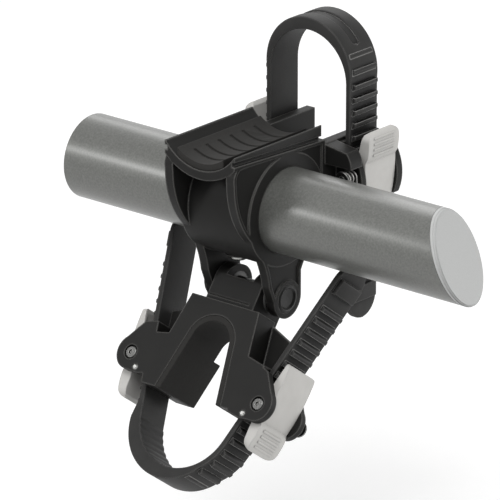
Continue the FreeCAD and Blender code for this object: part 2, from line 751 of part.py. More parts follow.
def cradle_body():
    front = flange()
    sleeve = rod(SLEEVE_R, (-CRADLE_LENGTH, 0, 0), (0, 0, 0))
    screw_boss = rod(SCREW_HEAD_R + 1.6, (SCREW_X, 0, -SLEEVE_R - SCREW_BOSS), (SCREW_X, 0, -ARM_R - 2))
    wall = station_wall()
    parts = [front, mirrored(front), wall, mirrored(wall), saddle(), screw_boss] + station_bridge()
    stations = [seated(station_frame(), name) for name in ("front", "rear")]
    body = sleeve.fuse(parts + stations)
    ear_head = rod(PIVOT_HEAD_R + SEAT, (-PIVOT_HEAD, PIVOT_Y, PIVOT_Z), (1, PIVOT_Y, PIVOT_Z))
    cuts = [
        rod(ARM_R + SEAT, (-CRADLE_LENGTH - 1, 0, 0), (1, 0, 0)),
        rod(BIKE_TUBE_R + PAD, (MID, FLANGE_LEFT - 1, BIKE_TUBE_Z), (MID, SADDLE_RIGHT + 1, BIKE_TUBE_Z)),
        rod(PIVOT_R, (-CRADLE_LENGTH - 1, PIVOT_Y, PIVOT_Z), (1, PIVOT_Y, PIVOT_Z)),
        ear_head,
        rod(SCREW_R + SEAT, (SCREW_X, 0, -SLEEVE_R - 2), (SCREW_X, 0, -ARM_R + 1)),
        saddle_groove(),
        mirrored(saddle_groove()),
    ]
    for name in ("front", "rear"):
        cuts += [seated(hole, name) for hole in buckle_holes()]
    return body.cut(cuts)


def cradle_screw():
    """Pan-head screw from below, through the sleeve into the arm."""
    seat = SLEEVE_R + SCREW_BOSS
    profile = [
        (0, 0),
        (0.9, 0),
        (0.9, 1.9),
        (0, 1.9),
        (0, SCREW_HEAD_R - 1.2),
        (0.9, SCREW_HEAD_R),
        (SCREW_HEAD, SCREW_HEAD_R),
        (SCREW_HEAD, SCREW_R),
        (SCREW_HEAD + seat - ARM_BORE_R + SCREW_BITE - 1.2, SCREW_R),
        (SCREW_HEAD + seat - ARM_BORE_R + SCREW_BITE, SCREW_R - 1.2),
        (SCREW_HEAD + seat - ARM_BORE_R + SCREW_BITE, 0),
    ]
    centre = Vector(0, 0, 0)
    points = [Vector(radius, 0, run) for run, radius in profile[1:]]
    face = Part.Face(Part.makePolygon(points + points[:1]))
    screw = face.revolve(centre, Z_AXIS, 360)
    return moved(screw, Placement(Vector(SCREW_X, 0, -seat - SCREW_HEAD), Rotation()))


def saddle_pad():
    """Soft pad that lines the saddle, with shallow cross grooves."""
    left = FLANGE_LEFT + 0.5
    right = SADDLE_RIGHT - 2.0
    low = (MID, left, BIKE_TUBE_Z)
    high = (MID, right, BIKE_TUBE_Z)
    pad = rod(BIKE_TUBE_R + PAD, low, high).cut(rod(BIKE_TUBE_R, low, high))
    pad = pad.common(box((MID - PAD_HALF, left, 0), (MID + PAD_HALF, right, BIKE_TUBE_Z)))
    grooves = []
    pitch = (right - left) / (PAD_GROOVES + 1)
    for step in range(PAD_GROOVES):
        at = left + pitch * (step + 1)
        ring = rod(BIKE_TUBE_R + 0.8, (MID, at - 0.8, BIKE_TUBE_Z), (MID, at + 0.8, BIKE_TUBE_Z))
        keep = box((MID - PAD_HALF + 3, at - 1, 0), (MID + PAD_HALF - 3, at + 1, BIKE_TUBE_Z))
        grooves.append(ring.common(keep))
    return pad.cut(grooves)


# The cage: a hinge block on the pivot, and a fork with a liner
BLOCK_FRONT = -FLANGE - CLEAR - WASHER - CLEAR - BUSH_FLANGE
BLOCK_REAR = -CRADLE_LENGTH + FLANGE + CLEAR + BUSH_FLANGE


def hinge_block():
    def on_top(degrees):
        return (BLOCK_TOP * math.sin(math.radians(degrees)), BLOCK_TOP * math.cos(math.radians(degrees)))

    side = outline(
        across(BLOCK_REAR),
        (-BLOCK_FACE, FORK_TOP - 8),
        (-BLOCK_FACE, 1.0),
        ((-8.4, 5.6), on_top(-20)),
        (on_top(28), on_top(math.degrees(math.asin(BLOCK_BACK / BLOCK_TOP)))),
        (BLOCK_BACK, FORK_TOP - 8),
    )
    block = side.extrude(X_AXIS * (BLOCK_FRONT - BLOCK_REAR))
    low = BLOCK_REAR + KNUCKLE
    high = BLOCK_FRONT - KNUCKLE
    over = box((low, -BLOCK_FACE - 1, KNUCKLE_FOOT), (high, BLOCK_BACK + 1, BLOCK_TOP + 1))
    return block.cut([over, rod(PIVOT_R + 2.2, (low, 0, 0), (high, 0, 0))])


def arch(grow):
    """The fork's mouth, as (a, l) points, widened all round by grow."""
    top_r = ARCH_R + grow
    centre = ARCH_TOP - ARCH_R
    shoulder = math.radians(20)
    foot = ARCH_FOOT - 6
    slope = (ARCH_FOOT_HALF - ARCH_R) / (centre - ARCH_FOOT)
    foot_half = ARCH_R + grow + slope * (centre - foot)
    x = top_r * math.cos(shoulder)
    z = centre + top_r * math.sin(shoulder)
    return [
        (MID - foot_half, foot),
        (MID - x, z),
        ((MID, centre + top_r), (MID + x, z)),
        (MID + foot_half, foot),
    ]


def behind_neck():
    """What is left free behind the fork's neck, above the legs."""
    return box((-2 * CRADLE_LENGTH, BLOCK_BACK, LEG_TOP - 3), (CRADLE_LENGTH, 3 * BLOCK_BACK, 0))


def fork():
    """Neck, two legs under the strap, and the mouth between them."""
    splay = math.tan(math.radians(SWAY_SPLAY))
    reach = CLEAR / math.cos(math.radians(SWAY_SPLAY))

    def strap_face(level):
        return MID + CAGE_BUCKLE.Base.x - reach + splay * (level - SWAY_PIN_LEVEL)

    def right(x):
        return 2 * MID - x

    foot = SWAY_PIN_LEVEL - CAGE_CHEEK_LOOP + 1.7
    half = outline(
        along(-PLAIN_FACE),
        (MID, FORK_TOP),
        (-0.6, FORK_TOP),
        (3.0, LEG_TOP),
        (strap_face(LEG_TOP - 2.0), LEG_TOP - 2.0),
        (strap_face(foot), foot),
        (MID + ARCH_FOOT_HALF, foot),
        (MID, foot),
    ).extrude(Y_AXIS * 2 * PLAIN_FACE)
    gusset = outline(
        along(-GUSSET / 2),
        (-4.0, FORK_TOP - 0.8),
        (strap_face(-20.0) - 1.0, -20.0),
        (strap_face(LEG_TOP - 2.0), LEG_TOP - 2.0),
        (0.0, LEG_TOP - 2.0),
    ).extrude(Y_AXIS * GUSSET)
    shoulder = box((-0.6 - NECK_SIDE, NECK_PLATE, LEG_TOP - 3), (CRADLE_LENGTH, 3 * BLOCK_BACK, 0))
    half = half.cut([behind_neck(), shoulder]).fuse(gusset)
    both = half.fuse(mirrored(half))
    mouth = outline(along(-2 * PLAIN_FACE), *arch(0)).extrude(Y_AXIS * 4 * PLAIN_FACE)
    return both, mouth


def cage_yoke():
    body, mouth = fork()
    to_cage = CAGE.inverse()
    buckle = buckle_frame(cage_cheek, CAGE_CHEEK_LOOP)
    frames = [seated(buckle, name, to_cage) for name in ("cage_front", "cage_rear")]
    body = body.fuse([hinge_block()] + frames)
    seam = box((BLOCK_REAR - 1, -BLOCK_FACE - 1, SEAM_LEVEL - SEAM), (BLOCK_FRONT - 3, -BLOCK_FACE + SEAM, SEAM_LEVEL))
    bush_r = PIVOT_R + RUNNING + BUSH_WALL
    cuts = [mouth, seam, rod(bush_r, (BLOCK_REAR - 1, 0, 0), (BLOCK_FRONT + 1, 0, 0))]
    for name in ("cage_front", "cage_rear"):
        cuts += [seated(hole, name, to_cage) for hole in buckle_holes()]
    return body.cut(cuts).removeSplitter()


def cage_liner():
    """Soft lining of the fork's mouth, with a lip at each face."""
    outer = outline(along(-PLAIN_FACE), *arch(-SEAT)).extrude(Y_AXIS * 2 * PLAIN_FACE)
    inner = outline(along(-PLAIN_FACE - 1), *arch(-LINER)).extrude(Y_AXIS * 2 * (PLAIN_FACE + 1))
    keep = box((-CRADLE_LENGTH, -PLAIN_FACE, ARCH_FOOT), (0, PLAIN_FACE, 0))
    return outer.cut([inner, behind_neck()]).common(keep)


def cage_pivot_pin():
    end = CRADLE_LENGTH + PIVOT_CAP
    head_top = 0.4
    profile = [
        (head_top - 1.2, 0),
        (head_top - 0.9, PIVOT_HEAD_R - 2.2),
        (head_top, PIVOT_HEAD_R - 1.2),
        (head_top - 0.4, PIVOT_HEAD_R),
        (-PIVOT_HEAD + SEAT, PIVOT_HEAD_R),
        (-PIVOT_HEAD + SEAT, PIVOT_R - SEAT / 2),
        (-end + 1.0, PIVOT_R - SEAT / 2),
        (-end, PIVOT_R - 1.0),
        (-end, 0),
    ]
    return turned(Vector(0, 0, 0), X_AXIS, profile)


def cage_pivot_cap():
    """Round nut on the pivot pin's far end."""
    inner = PIVOT_R
    profile = [(0, inner), (0, 7.4), (-PIVOT_CAP + 1.2, 7.4), (-PIVOT_CAP, 6.2), (-PIVOT_CAP, inner)]
    return turned(Vector(-CRADLE_LENGTH - SEAT, 0, 0), X_AXIS, profile)


def cage_bush():
    """Flanged bush in the front eye of the hinge block."""
    outer = PIVOT_R + RUNNING + BUSH_WALL - SEAT / 2
    length = KNUCKLE - SEAT
    profile = [
        (BUSH_FLANGE, PIVOT_R + RUNNING),
        (BUSH_FLANGE, BUSH_FLANGE_R),
        (0, BUSH_FLANGE_R),
        (0, outer),
        (-length, outer),
        (-length, PIVOT_R + RUNNING),
    ]
    return turned(Vector(BLOCK_FRONT, 0, 0), X_AXIS, profile)


def cage_washer():
    """Friction washer between the front ear and the bush."""
    at = -FLANGE - CLEAR
    profile = [(0, PIVOT_R + SEAT), (0, WASHER_R), (-WASHER, WASHER_R), (-WASHER, PIVOT_R + SEAT)]
    return turned(Vector(at, 0, 0), X_AXIS, profile)


save("arm_tube", arm_tube())
save("arm_insert", arm_insert())
save("arm_end_plug", arm_end_plug())
save("cradle_body", cradle_body())
save("cradle_screw", cradle_screw())
save("saddle_pad", saddle_pad())
main_loop = (MAIN_SWELL, MAIN_RISE, MAIN_LEAN)
save("main_strap", strap(BIKE_TUBE_R, 0, MAIN_TO_PIN, MAIN_TAIL, MAIN_SMOOTH, *main_loop), MAIN)
sway_loop = (SWAY_SWELL, SWAY_RISE, SWAY_LEAN)
save("sway_strap", strap(SWAY_R, SWAY_SPLAY, SWAY_TO_PIN, SWAY_TAIL, SWAY_SMOOTH, *sway_loop), SWAY)
save("cage_yoke", cage_yoke(), CAGE)
save("cage_liner", cage_liner(), CAGE)
save("cage_pivot_pin", cage_pivot_pin(), CAGE)
save("cage_pivot_cap", cage_pivot_cap(), CAGE)
save("cage_washer", cage_washer(), CAGE)
front_bush = cage_bush()
save("cage_front_bush", front_bush, CAGE)
shift = Placement(Vector(BLOCK_FRONT + BLOCK_REAR, 0, 0), Rotation(Z_AXIS, 180))
save("cage_rear_bush", moved(front_bush, shift), CAGE)

pieces = {
    "lever": lever(),
    "lever_pin": lever_pin(),
    "lever_retainer": lever_retainer(),
    "lever_spring": lever_spring(),
    "guide_pin": guide_pin(),
}
for seat in SEATS:
    for name, shape in pieces.items():
        save(seat + "_" + name, seated(shape, seat))
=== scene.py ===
import math

import bmesh
import bpy
from mathutils import Matrix, Vector


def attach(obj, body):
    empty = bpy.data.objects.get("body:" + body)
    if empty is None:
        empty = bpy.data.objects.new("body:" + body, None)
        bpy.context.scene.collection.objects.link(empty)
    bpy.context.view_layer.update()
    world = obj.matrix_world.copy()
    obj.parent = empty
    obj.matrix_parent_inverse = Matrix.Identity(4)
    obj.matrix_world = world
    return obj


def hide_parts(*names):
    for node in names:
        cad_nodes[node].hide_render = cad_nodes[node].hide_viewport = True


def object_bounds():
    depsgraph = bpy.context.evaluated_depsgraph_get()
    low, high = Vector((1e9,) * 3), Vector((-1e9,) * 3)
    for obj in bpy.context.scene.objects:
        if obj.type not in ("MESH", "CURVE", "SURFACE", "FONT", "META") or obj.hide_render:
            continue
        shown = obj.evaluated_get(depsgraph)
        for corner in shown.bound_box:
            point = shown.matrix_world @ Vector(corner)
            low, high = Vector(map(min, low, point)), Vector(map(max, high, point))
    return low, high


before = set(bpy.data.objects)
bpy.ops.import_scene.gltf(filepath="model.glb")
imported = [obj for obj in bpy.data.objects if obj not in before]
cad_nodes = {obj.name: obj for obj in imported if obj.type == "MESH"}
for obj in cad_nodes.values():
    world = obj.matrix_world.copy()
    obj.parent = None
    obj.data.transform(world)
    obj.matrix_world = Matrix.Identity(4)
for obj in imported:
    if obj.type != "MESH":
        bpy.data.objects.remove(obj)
cad_low, cad_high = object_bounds()


# The arm: a drawn steel tube, 38.1 mm across, sprayed with a grey hammer paint that has fine
# metal flake in it. The carrier's mast bolts to its far end, and its near end is cut at a slant.
class Term:
    """A value in a material. Arithmetic on it adds the Math nodes for it."""

    def __init__(self, recipe, socket):
        self.recipe = recipe
        self.socket = socket

    def _math(self, operation, first, second=0.0, clamp=False):
        settings = {"operation": operation, "use_clamp": clamp}
        return self.recipe.node("ShaderNodeMath", settings, {0: first, 1: second})["Value"]

    def __add__(self, other):
        return self._math("ADD", self, other)

    __radd__ = __add__

    def __sub__(self, other):
        return self._math("SUBTRACT", self, other)

    def __rsub__(self, other):
        return self._math("SUBTRACT", other, self)

    def __mul__(self, other):
        return self._math("MULTIPLY", self, other)

    __rmul__ = __mul__

    def __pow__(self, other):
        return self._math("POWER", self, other)

    def __and__(self, other):
        """The lower of the two."""
        return self._math("MINIMUM", self, other)

    def __or__(self, other):
        """The higher of the two."""
        return self._math("MAXIMUM", self, other)

    def clamped(self):
        return self._math("ADD", self, 0.0, clamp=True)


class Recipe:
    """The nodes that drive one shader, in a material or in the world."""

    def __init__(self, owner, shader, **fixed):
        self.tree = owner.node_tree
        self.shader = self.tree.nodes[shader]
        for socket, value in fixed.items():
            self.feed(socket.replace("_", " "), value)

    def set(self, socket, value):
        if isinstance(value, Term):
            self.tree.links.new(value.socket, socket)
        elif isinstance(value, tuple) and len(value) < len(socket.default_value):
            socket.default_value = (*value, 1.0)
        else:
            socket.default_value = value

    def feed(self, socket, value):
        """A value, a colour or a term for one socket of the shader itself."""
        self.set(self.shader.inputs[socket], value)

    def node(self, kind, settings=None, inputs=None):
        """Any node, by type. Its outputs come back as terms, by the sockets' identifiers."""
        made = self.tree.nodes.new(kind)
        for key, value in (settings or {}).items():
            setattr(made, key, value)
        for key, value in (inputs or {}).items():
            self.set(made.inputs[key], value)
        return {output.identifier: Term(self, output) for output in made.outputs}

    def tint(self, amount, first, second):
        """The first colour where amount is 0, the second where it is 1."""
        inputs = {0: amount, 6: first, 7: second}
        return self.node("ShaderNodeMix", {"data_type": "RGBA"}, inputs)["Result_Color"]

    def between(self, low, high, value):
        """0 where value is at low or under, 1 where it is at high or over."""
        inputs = {"Value": value, "From Min": low, "From Max": high, "To Min": 0.0, "To Max": 1.0}
        return self.node("ShaderNodeMapRange", {"clamp": True}, inputs)["Result"]

    def place(self):
        """Where the point is, in metres, on the piece itself."""
        return self.node("ShaderNodeTexCoord")["Object"]

    def noise(self, scale, detail=2.0, roughness=0.5):
        inputs = {"Vector": self.place(), "Scale": scale, "Detail": detail, "Roughness": roughness}
        return self.node("ShaderNodeTexNoise", {}, inputs)["Fac"]

    def rounded(self, radius):
        """The surface's normal with its edges rounded off."""
        return self.node("ShaderNodeBevel", {"samples": 6}, {"Radius": radius})["Normal"]

    def edges(self, radius, reach=0.25):
        """1 at the edges and 0 on the flats. Most of the finishes lighten their edges with it, as a
        painted highlight.
        """
        inputs = {0: self.rounded(radius), 1: self.node("ShaderNodeNewGeometry")["Normal"]}
        alike = self.node("ShaderNodeVectorMath", {"operation": "DOT_PRODUCT"}, inputs)["Value"]
        return self.between(0.0, reach, 1 - alike)

    def open_to_light(self, reach):
        """0 far in a recess or a corner, 1 out on the open faces of the piece itself."""
        settings = {"samples": 6, "only_local": True}
        return self.node("ShaderNodeAmbientOcclusion", settings, {"Distance": reach})["AO"]

    def relief(self, height, depth, radius=None):
        """Height in shares of depth, in metres, over rounded edges."""
        inputs = {"Height": height, "Distance": depth, "Strength": 1.0}
        if radius:
            inputs["Normal"] = self.rounded(radius)
        self.feed("Normal", self.node("ShaderNodeBump", {}, inputs)["Normal"])


class Finish(Recipe):
    """One surface finish: a material with a Principled shader."""

    def __init__(self, name, **fixed):
        self.material = bpy.data.materials.new(name)
        self.material.use_nodes = True
        super().__init__(self.material, "Principled BSDF", **fixed)


def dress(finish, slot, *names):
    """The finish goes on these CAD nodes."""
    for name in names:
        cad_nodes[name].data.materials.clear()
        cad_nodes[name].data.materials.append(finish.material)


hammer_grey = Finish("hammer_grey_paint", Metallic=0.3, Coat_Weight=0.4, Coat_Roughness=0.24)
dimple = hammer_grey.noise(1100.0, 3.0, 0.6)
cloud = hammer_grey.noise(60.0)
flake = hammer_grey.between(0.3, 0.7, dimple)
grey = hammer_grey.tint(flake, (0.085, 0.087, 0.081), (0.14, 0.143, 0.133))
hammer_grey.feed("Base Color", hammer_grey.tint(cloud * 0.3, grey, (0.12, 0.122, 0.114)))
hammer_grey.feed("Roughness", 0.36 + dimple * 0.14)
hammer_grey.relief(dimple, 0.00005, 0.0006)
dress(hammer_grey, "arm_finish", "arm_tube")


# The plug in the arm's slanted end: moulded in grey plastic, with a fine satin skin, and pushed
# into the tube.
plug_grey = Finish("plug_grey_plastic")
skin_grain = plug_grey.noise(1600.0)
plug_grey.feed("Base Color", plug_grey.tint(skin_grain, (0.43, 0.435, 0.43), (0.50, 0.505, 0.50)))
plug_grey.feed("Roughness", 0.5 + skin_grain * 0.12)
plug_grey.relief(skin_grain, 0.00004, 0.0007)
dress(plug_grey, "plug_plastic", "arm_end_plug")


# The bright small parts: the turned insert that is pressed into the arm's far end, the cradle's
# screw and the straps' guide pins. They are steel, plated with dull zinc.
SEATS = ("front", "rear", "cage_front", "cage_rear")
zinc = Finish("zinc_steel", Metallic=1.0)
brushed = zinc.noise(2600.0)
stain = zinc.noise(300.0, 3.0)
zinc.feed("Base Color", zinc.tint(stain, (0.22, 0.22, 0.213), (0.38, 0.38, 0.365)))
zinc.feed("Roughness", 0.24 + brushed * 0.22)
zinc.relief(brushed, 0.00002, 0.0002)
dress(zinc, "steel", "arm_insert", "cradle_screw", *[seat + "_guide_pin" for seat in SEATS])


# The levers' pins with their retaining rings, and the pivot's wave washer: spring steel, dark with
# oil, and painted bright along the rims as a painted highlight.
oiled = Finish("oiled_steel", Metallic=1.0)
film = oiled.noise(700.0, 3.0)
# Painted highlight: the rims are lightened.
pin_rim_highlight = oiled.edges(0.0005, 0.2)
oil = oiled.tint(film, (0.05, 0.05, 0.049), (0.11, 0.11, 0.107))
oiled.feed("Base Color", oiled.tint(pin_rim_highlight * 0.7, oil, (0.55, 0.55, 0.53)))
oiled.feed("Roughness", 0.26 + film * 0.2)
oiled.relief(film, 0.00003, 0.0003)
dress(oiled, "steel", "cage_washer", *[seat + "_lever_pin" for seat in SEATS])
dress(oiled, "steel", *[seat + "_lever_retainer" for seat in SEATS])


# The cradle and the cage: glass-filled nylon, moulded black with a fine grain. Rims and corners are
# painted lighter as a painted highlight, and made a little glossier. Recesses are painted darker as
# painted shade.
black = Finish("moulded_black_nylon", Specular_IOR_Level=0.12)
grain = black.noise(2400.0, 2.0, 0.6)
flow = black.noise(90.0, 3.0)
# Painted highlight: the rounded rims are lightened, as if they caught the light.
rim_highlight = black.edges(0.0013, 0.2)
# Painted shade: recesses and corners are darkened toward black.
recess_shade = 1 - black.open_to_light(0.004)
nylon = black.tint(flow, (0.008, 0.008, 0.0076), (0.014, 0.0137, 0.013))
nylon = black.tint(grain * 0.25, nylon, (0.028, 0.027, 0.026))
nylon = black.tint((recess_shade * 1.2).clamped(), nylon, (0.003, 0.003, 0.003))
black.feed("Base Color", black.tint(rim_highlight ** 1.4 * 0.9, nylon, (0.13, 0.128, 0.122)))
black.feed("Roughness", 0.4 + grain * 0.2 - rim_highlight * 0.1)
black.relief(grain, 0.00004, 0.0013)
dress(black, "moulding", "cradle_body", "cage_yoke")


# The soft linings: the saddle's pad and the fork's liner are moulded in a soft black rubber with
# a dull bloom, and are pressed into the nylon. Their edges have the small radius of the mould.
def stand_in(piece_name, mesh, finish, body, node):
    """A piece of the scene's own takes the place of a CAD node."""
    mesh.materials.clear()
    mesh.materials.append(finish.material)
    piece = bpy.data.objects.new(piece_name, mesh)
    bpy.context.scene.collection.objects.link(piece)
    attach(piece, body)
    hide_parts(node)
    return piece


def round_off(piece, radius):
    """Sharp edges get a radius, once the CAD mesh is welded and its flats are cleared."""
    weld = piece.modifiers.new("weld", "WELD")
    weld.merge_threshold = 0.000002
    flats = piece.modifiers.new("flats", "DECIMATE")
    flats.decimate_type = "DISSOLVE"
    flats.angle_limit = 0.01
    bevel = piece.modifiers.new("rounding", "BEVEL")
    bevel.width = radius
    bevel.segments = 2
    bevel.limit_method = "ANGLE"
    bevel.angle_limit = math.radians(32.0)
    bevel.use_clamp_overlap = False
    shading = piece.modifiers.new("shading", "WEIGHTED_NORMAL")
    shading.weight = 80


def soft_lining(piece_name, body, node, radius):
    """The lining's CAD form with every edge rounded."""
    mesh = cad_nodes[node].data.copy()
    piece = stand_in(piece_name, mesh, soft_rubber, body, node)
    round_off(piece, radius)
    return piece


soft_rubber = Finish("soft_black_rubber", Specular_IOR_Level=0.15)
bloom = soft_rubber.noise(700.0, 4.0, 0.65)
soft_rubber.feed("Base Color", soft_rubber.tint(bloom, (0.016, 0.0155, 0.015), (0.032, 0.031, 0.029)))
soft_rubber.feed("Roughness", 0.66 + bloom * 0.2)
soft_rubber.relief(bloom, 0.00005)
saddle_cushion = soft_lining("saddle_cushion", "carrier", "saddle_pad", 0.00035)
fork_lining = soft_lining("fork_lining", "cage", "cage_liner", 0.0004)


# The straps: one piece each, moulded in a tough dark grey elastomer, with a thick loop and two
# toothed ends. A tooth's steep face looks to the loop, where the pawl holds it. Sizes are in mm.
STRAP_HALF = 9.5             # half its width
STRAP_BASE = 2.6             # its thickness under the teeth
STRAP_EDGE = 0.55            # the radius of its long edges
RUN_OUT = 8.0                # from the loop's thick end down to the plain strap
TOOTH = 1.8                  # how far a tooth stands out
TOOTH_PITCH = 5.75
TOOTH_LAND = 1.7             # its flat top, along the strap
TOOTH_FOOT = 2.95            # and its foot
SUNK = 0.2                   # how deep the teeth and the tip's pad are rooted
TOP_HALF = 7.6               # half the width of a tooth or a pad, at its top
PAD_LENGTH = 7.6
BARE_TIP = 17.0              # the stretch at each tip that has no teeth
PIN_TO_TOOTH = 7.65          # from a lever's pin to the tooth that its pawl holds
SLOT_HALF = 2.5              # half the width of the slot in the crown
SLOT_DEPTH = 0.8
SLOT_BRIM = 0.8              # how wide its rounded brim is
SLOT_END = math.radians(45)  # from the crown to where the slot's ends turn round
GRIP = 0.4                   # how far the ribs inside the loop stand out
GRIP_PITCH = 3.4
LOOP_STEP = 0.55             # from section to section round the loop


class Strap:
    """A strap's path and section. The loop's centre is the origin and its crown is up.

    splay: how far each straight tail leans out, in degrees
    swell: how thick the loop is at its thickest, which is lean degrees from the crown
    rise: how far the centre of the loop's outer arc is from the centre of its inner one
    grips: from where to where the loop has ribs inside, in degrees from the crown
    """

    def __init__(self, radius, splay, tail, swell, rise, lean, slotted=False, grips=(0, 0)):
        self.radius = radius
        self.turn_end = math.radians(90 - splay)
        self.side = radius * self.turn_end
        self.tail = tail
        self.length = self.side + tail
        self.swell = swell
        self.rise = rise
        self.lean = math.radians(lean)
        self.slotted = slotted
        self.grips = grips

    def frame_at(self, s):
        """Axes at s from the crown, on the inner face: x is up from it, y across, z along."""
        turn = max(-self.turn_end, min(self.turn_end, s / self.radius))
        up = Vector((math.sin(turn), 0, math.cos(turn)))
        along = Vector((math.cos(turn), 0, -math.sin(turn)))
        spot = up * self.radius + along * (s - turn * self.radius)
        return Matrix((
            (up.x, 0, along.x, spot.x),
            (0, 1, 0, 0),
            (up.z, 0, along.z, spot.z),
            (0, 0, 0, 1),
        ))

    def swell_at(self, turn):
        """How thick the loop is: its outer arc has its own centre, off the inner one."""
        lift = self.rise * math.cos(turn - self.lean)
        outer = self.radius + self.swell - self.rise
        return lift + math.sqrt(outer ** 2 - self.rise ** 2 + lift ** 2) - self.radius

    def thickness(self, s):
        if abs(s) <= self.side:
            return max(STRAP_BASE, self.swell_at(s / self.radius))
        thick_end = max(STRAP_BASE, self.swell_at(math.copysign(self.turn_end, s)))
        left = max(0.0, 1 - (abs(s) - self.side) / RUN_OUT)
        return STRAP_BASE + (thick_end - STRAP_BASE) * left

    def half_width(self, s):
        """Half the width, which the round tips take down."""
        past = max(0.0, STRAP_HALF - (self.length - abs(s)))
        return max(0.4, math.sqrt(STRAP_HALF ** 2 - min(past, STRAP_HALF) ** 2))

    def slot_half(self, s):
        """Half the slot's width. Where there is no slot, next to nothing is left of it."""
        past = max(0.0, abs(s) / self.radius - SLOT_END) * (self.radius + self.swell)
        half = math.sqrt(max(0.0, SLOT_HALF ** 2 - past ** 2)) if self.slotted else 0.0
        return max(half, 0.03)

    def grip_at(self, s):
        """The ribs' height at s."""
        low, high = self.grips
        if abs(s) < self.side and low < math.degrees(s / self.radius) < high:
            return GRIP * abs(math.sin(math.pi * s / GRIP_PITCH))
        return 0.0

    def section(self, s):
        """The outline at s, as (height, side): four rounded edges, and the slot's two walls."""
        wide = self.half_width(s)
        high = self.thickness(s)
        corner = min(STRAP_EDGE, wide / 2)
        slot = self.slot_half(s)
        depth = SLOT_DEPTH if slot > 0.3 else 0.0
        brim = min(slot + SLOT_BRIM, (wide - corner) * 0.9)
        foot = min(slot, brim * 0.8)
        wall = [
            (high, brim),
            (high - depth * 0.08, (brim + foot) / 2),
            (high - depth * 0.35, foot),
            (high - depth, foot * 0.9),
        ]
        points = []
        for side, level, first in (
            (-1, corner - self.grip_at(s), 180),
            (1, corner - self.grip_at(s), 270),
            (1, high - corner, 0),
            (-1, high - corner, 90),
        ):
            for turned in (0, 30, 60, 90):
                angle = math.radians(first + turned)
                across = side * (wide - corner) + corner * math.cos(angle)
                points.append((level + corner * math.sin(angle), across))
            if first == 0:
                points += wall + [(height, -across) for height, across in wall[::-1]]
        return points

    def stations(self):
        """Where the strap has a section: closely round the loop and at the round tips."""
        steps = int(2 * self.side / LOOP_STEP)
        round_loop = [-self.side + 2 * self.side * i / steps for i in range(steps + 1)]
        runs = [RUN_OUT * share for share in (0.25, 0.5, 0.75, 1.0)]
        runs.append(self.tail / 2)
        for angle in range(0, 90, 10):
            runs.append(self.tail - STRAP_HALF + STRAP_HALF * math.sin(math.radians(angle)))
        runs.append(self.tail - 0.03)
        return sorted(round_loop + [sign * (self.side + run) for sign in (-1, 1) for run in runs])


def skin(bm, rings):
    """Faces from ring to ring, and one over each end."""
    for ring, following in zip(rings, rings[1:]):
        for i in range(len(ring)):
            j = (i + 1) % len(ring)
            bm.faces.new((ring[i], ring[j], following[j], following[i]))
    bm.faces.new(rings[0])
    bm.faces.new(rings[-1])


def stamp_blocks(bm, profile, places, foot_half, radius):
    """A raised block at each place. profile is (height, distance along) from foot to foot."""
    block = bmesh.new()
    foot = profile[0][0]
    rings = []
    for side in (-1, 1):
        ring = []
        for height, along in profile:
            half = foot_half if height == foot else TOP_HALF
            ring.append(block.verts.new((height, side * half, along)))
        rings.append(ring)
    skin(block, rings)
    bmesh.ops.recalc_face_normals(block, faces=block.faces)
    free = [edge for edge in block.edges if max(vert.co.x for vert in edge.verts) > foot]
    bmesh.ops.bevel(block, geom=free, offset=radius, segments=2, profile=0.5, affect="EDGES")
    for place in places:
        made = {vert: bm.verts.new(place @ vert.co) for vert in block.verts}
        for face in block.faces:
            bm.faces.new([made[vert] for vert in face.verts])
    block.free()


def placed_mesh(bm, name, place, sharp):
    """The piece drawn in mm in its own frame becomes a smooth mesh in metres, in its place."""
    bm.transform(Matrix.Scale(0.001, 4) @ place)
    bmesh.ops.recalc_face_normals(bm, faces=bm.faces)
    mesh = bpy.data.meshes.new(name)
    bm.to_mesh(mesh)
    bm.free()
    mesh.shade_smooth()
    mesh.set_sharp_from_angle(angle=math.radians(sharp))
    return mesh


def mould_strap(piece_name, body, node, place, strap, to_pin, smooth):
    """to_pin runs from the loop's side to the lever's pin. No tooth is within smooth degrees
    of the crown."""
    bm = bmesh.new()
    rings = []
    for s in strap.stations():
        here = strap.frame_at(s)
        points = [Vector((height, across, 0)) for height, across in strap.section(s)]
        rings.append([bm.verts.new(here @ point) for point in points])
    skin(bm, rings)

    # The pawl holds one tooth, and the others are set out from it both ways.
    held = strap.side + to_pin + PIN_TO_TOOTH
    ups = int((held - strap.radius * math.radians(smooth)) / TOOTH_PITCH)
    downs = int((strap.length - BARE_TIP - TOOTH_FOOT - held) / TOOTH_PITCH)
    spots = [strap.frame_at(held + TOOTH_PITCH * i) for i in range(-ups, downs + 1)]
    tip = strap.frame_at(strap.length - STRAP_HALF + 1.0)
    half_turn = Matrix.Rotation(math.pi, 4, "Z")
    root, top = STRAP_BASE - SUNK, STRAP_BASE + TOOTH
    tooth = [(root, -0.05), (top, 0.0), (top, TOOTH_LAND), (root, TOOTH_FOOT)]
    stamp_blocks(bm, tooth, spots + [half_turn @ spot for spot in spots], foot_half=8.25, radius=0.3)
    pad = [(root, -PAD_LENGTH), (top, 0.3 - PAD_LENGTH), (top, -0.3), (root, 0.0)]
    stamp_blocks(bm, pad, [tip, half_turn @ tip], foot_half=8.1, radius=0.4)
    mesh = placed_mesh(bm, piece_name, place, 42)
    stand_in(piece_name, mesh, strap_rubber, body, node)


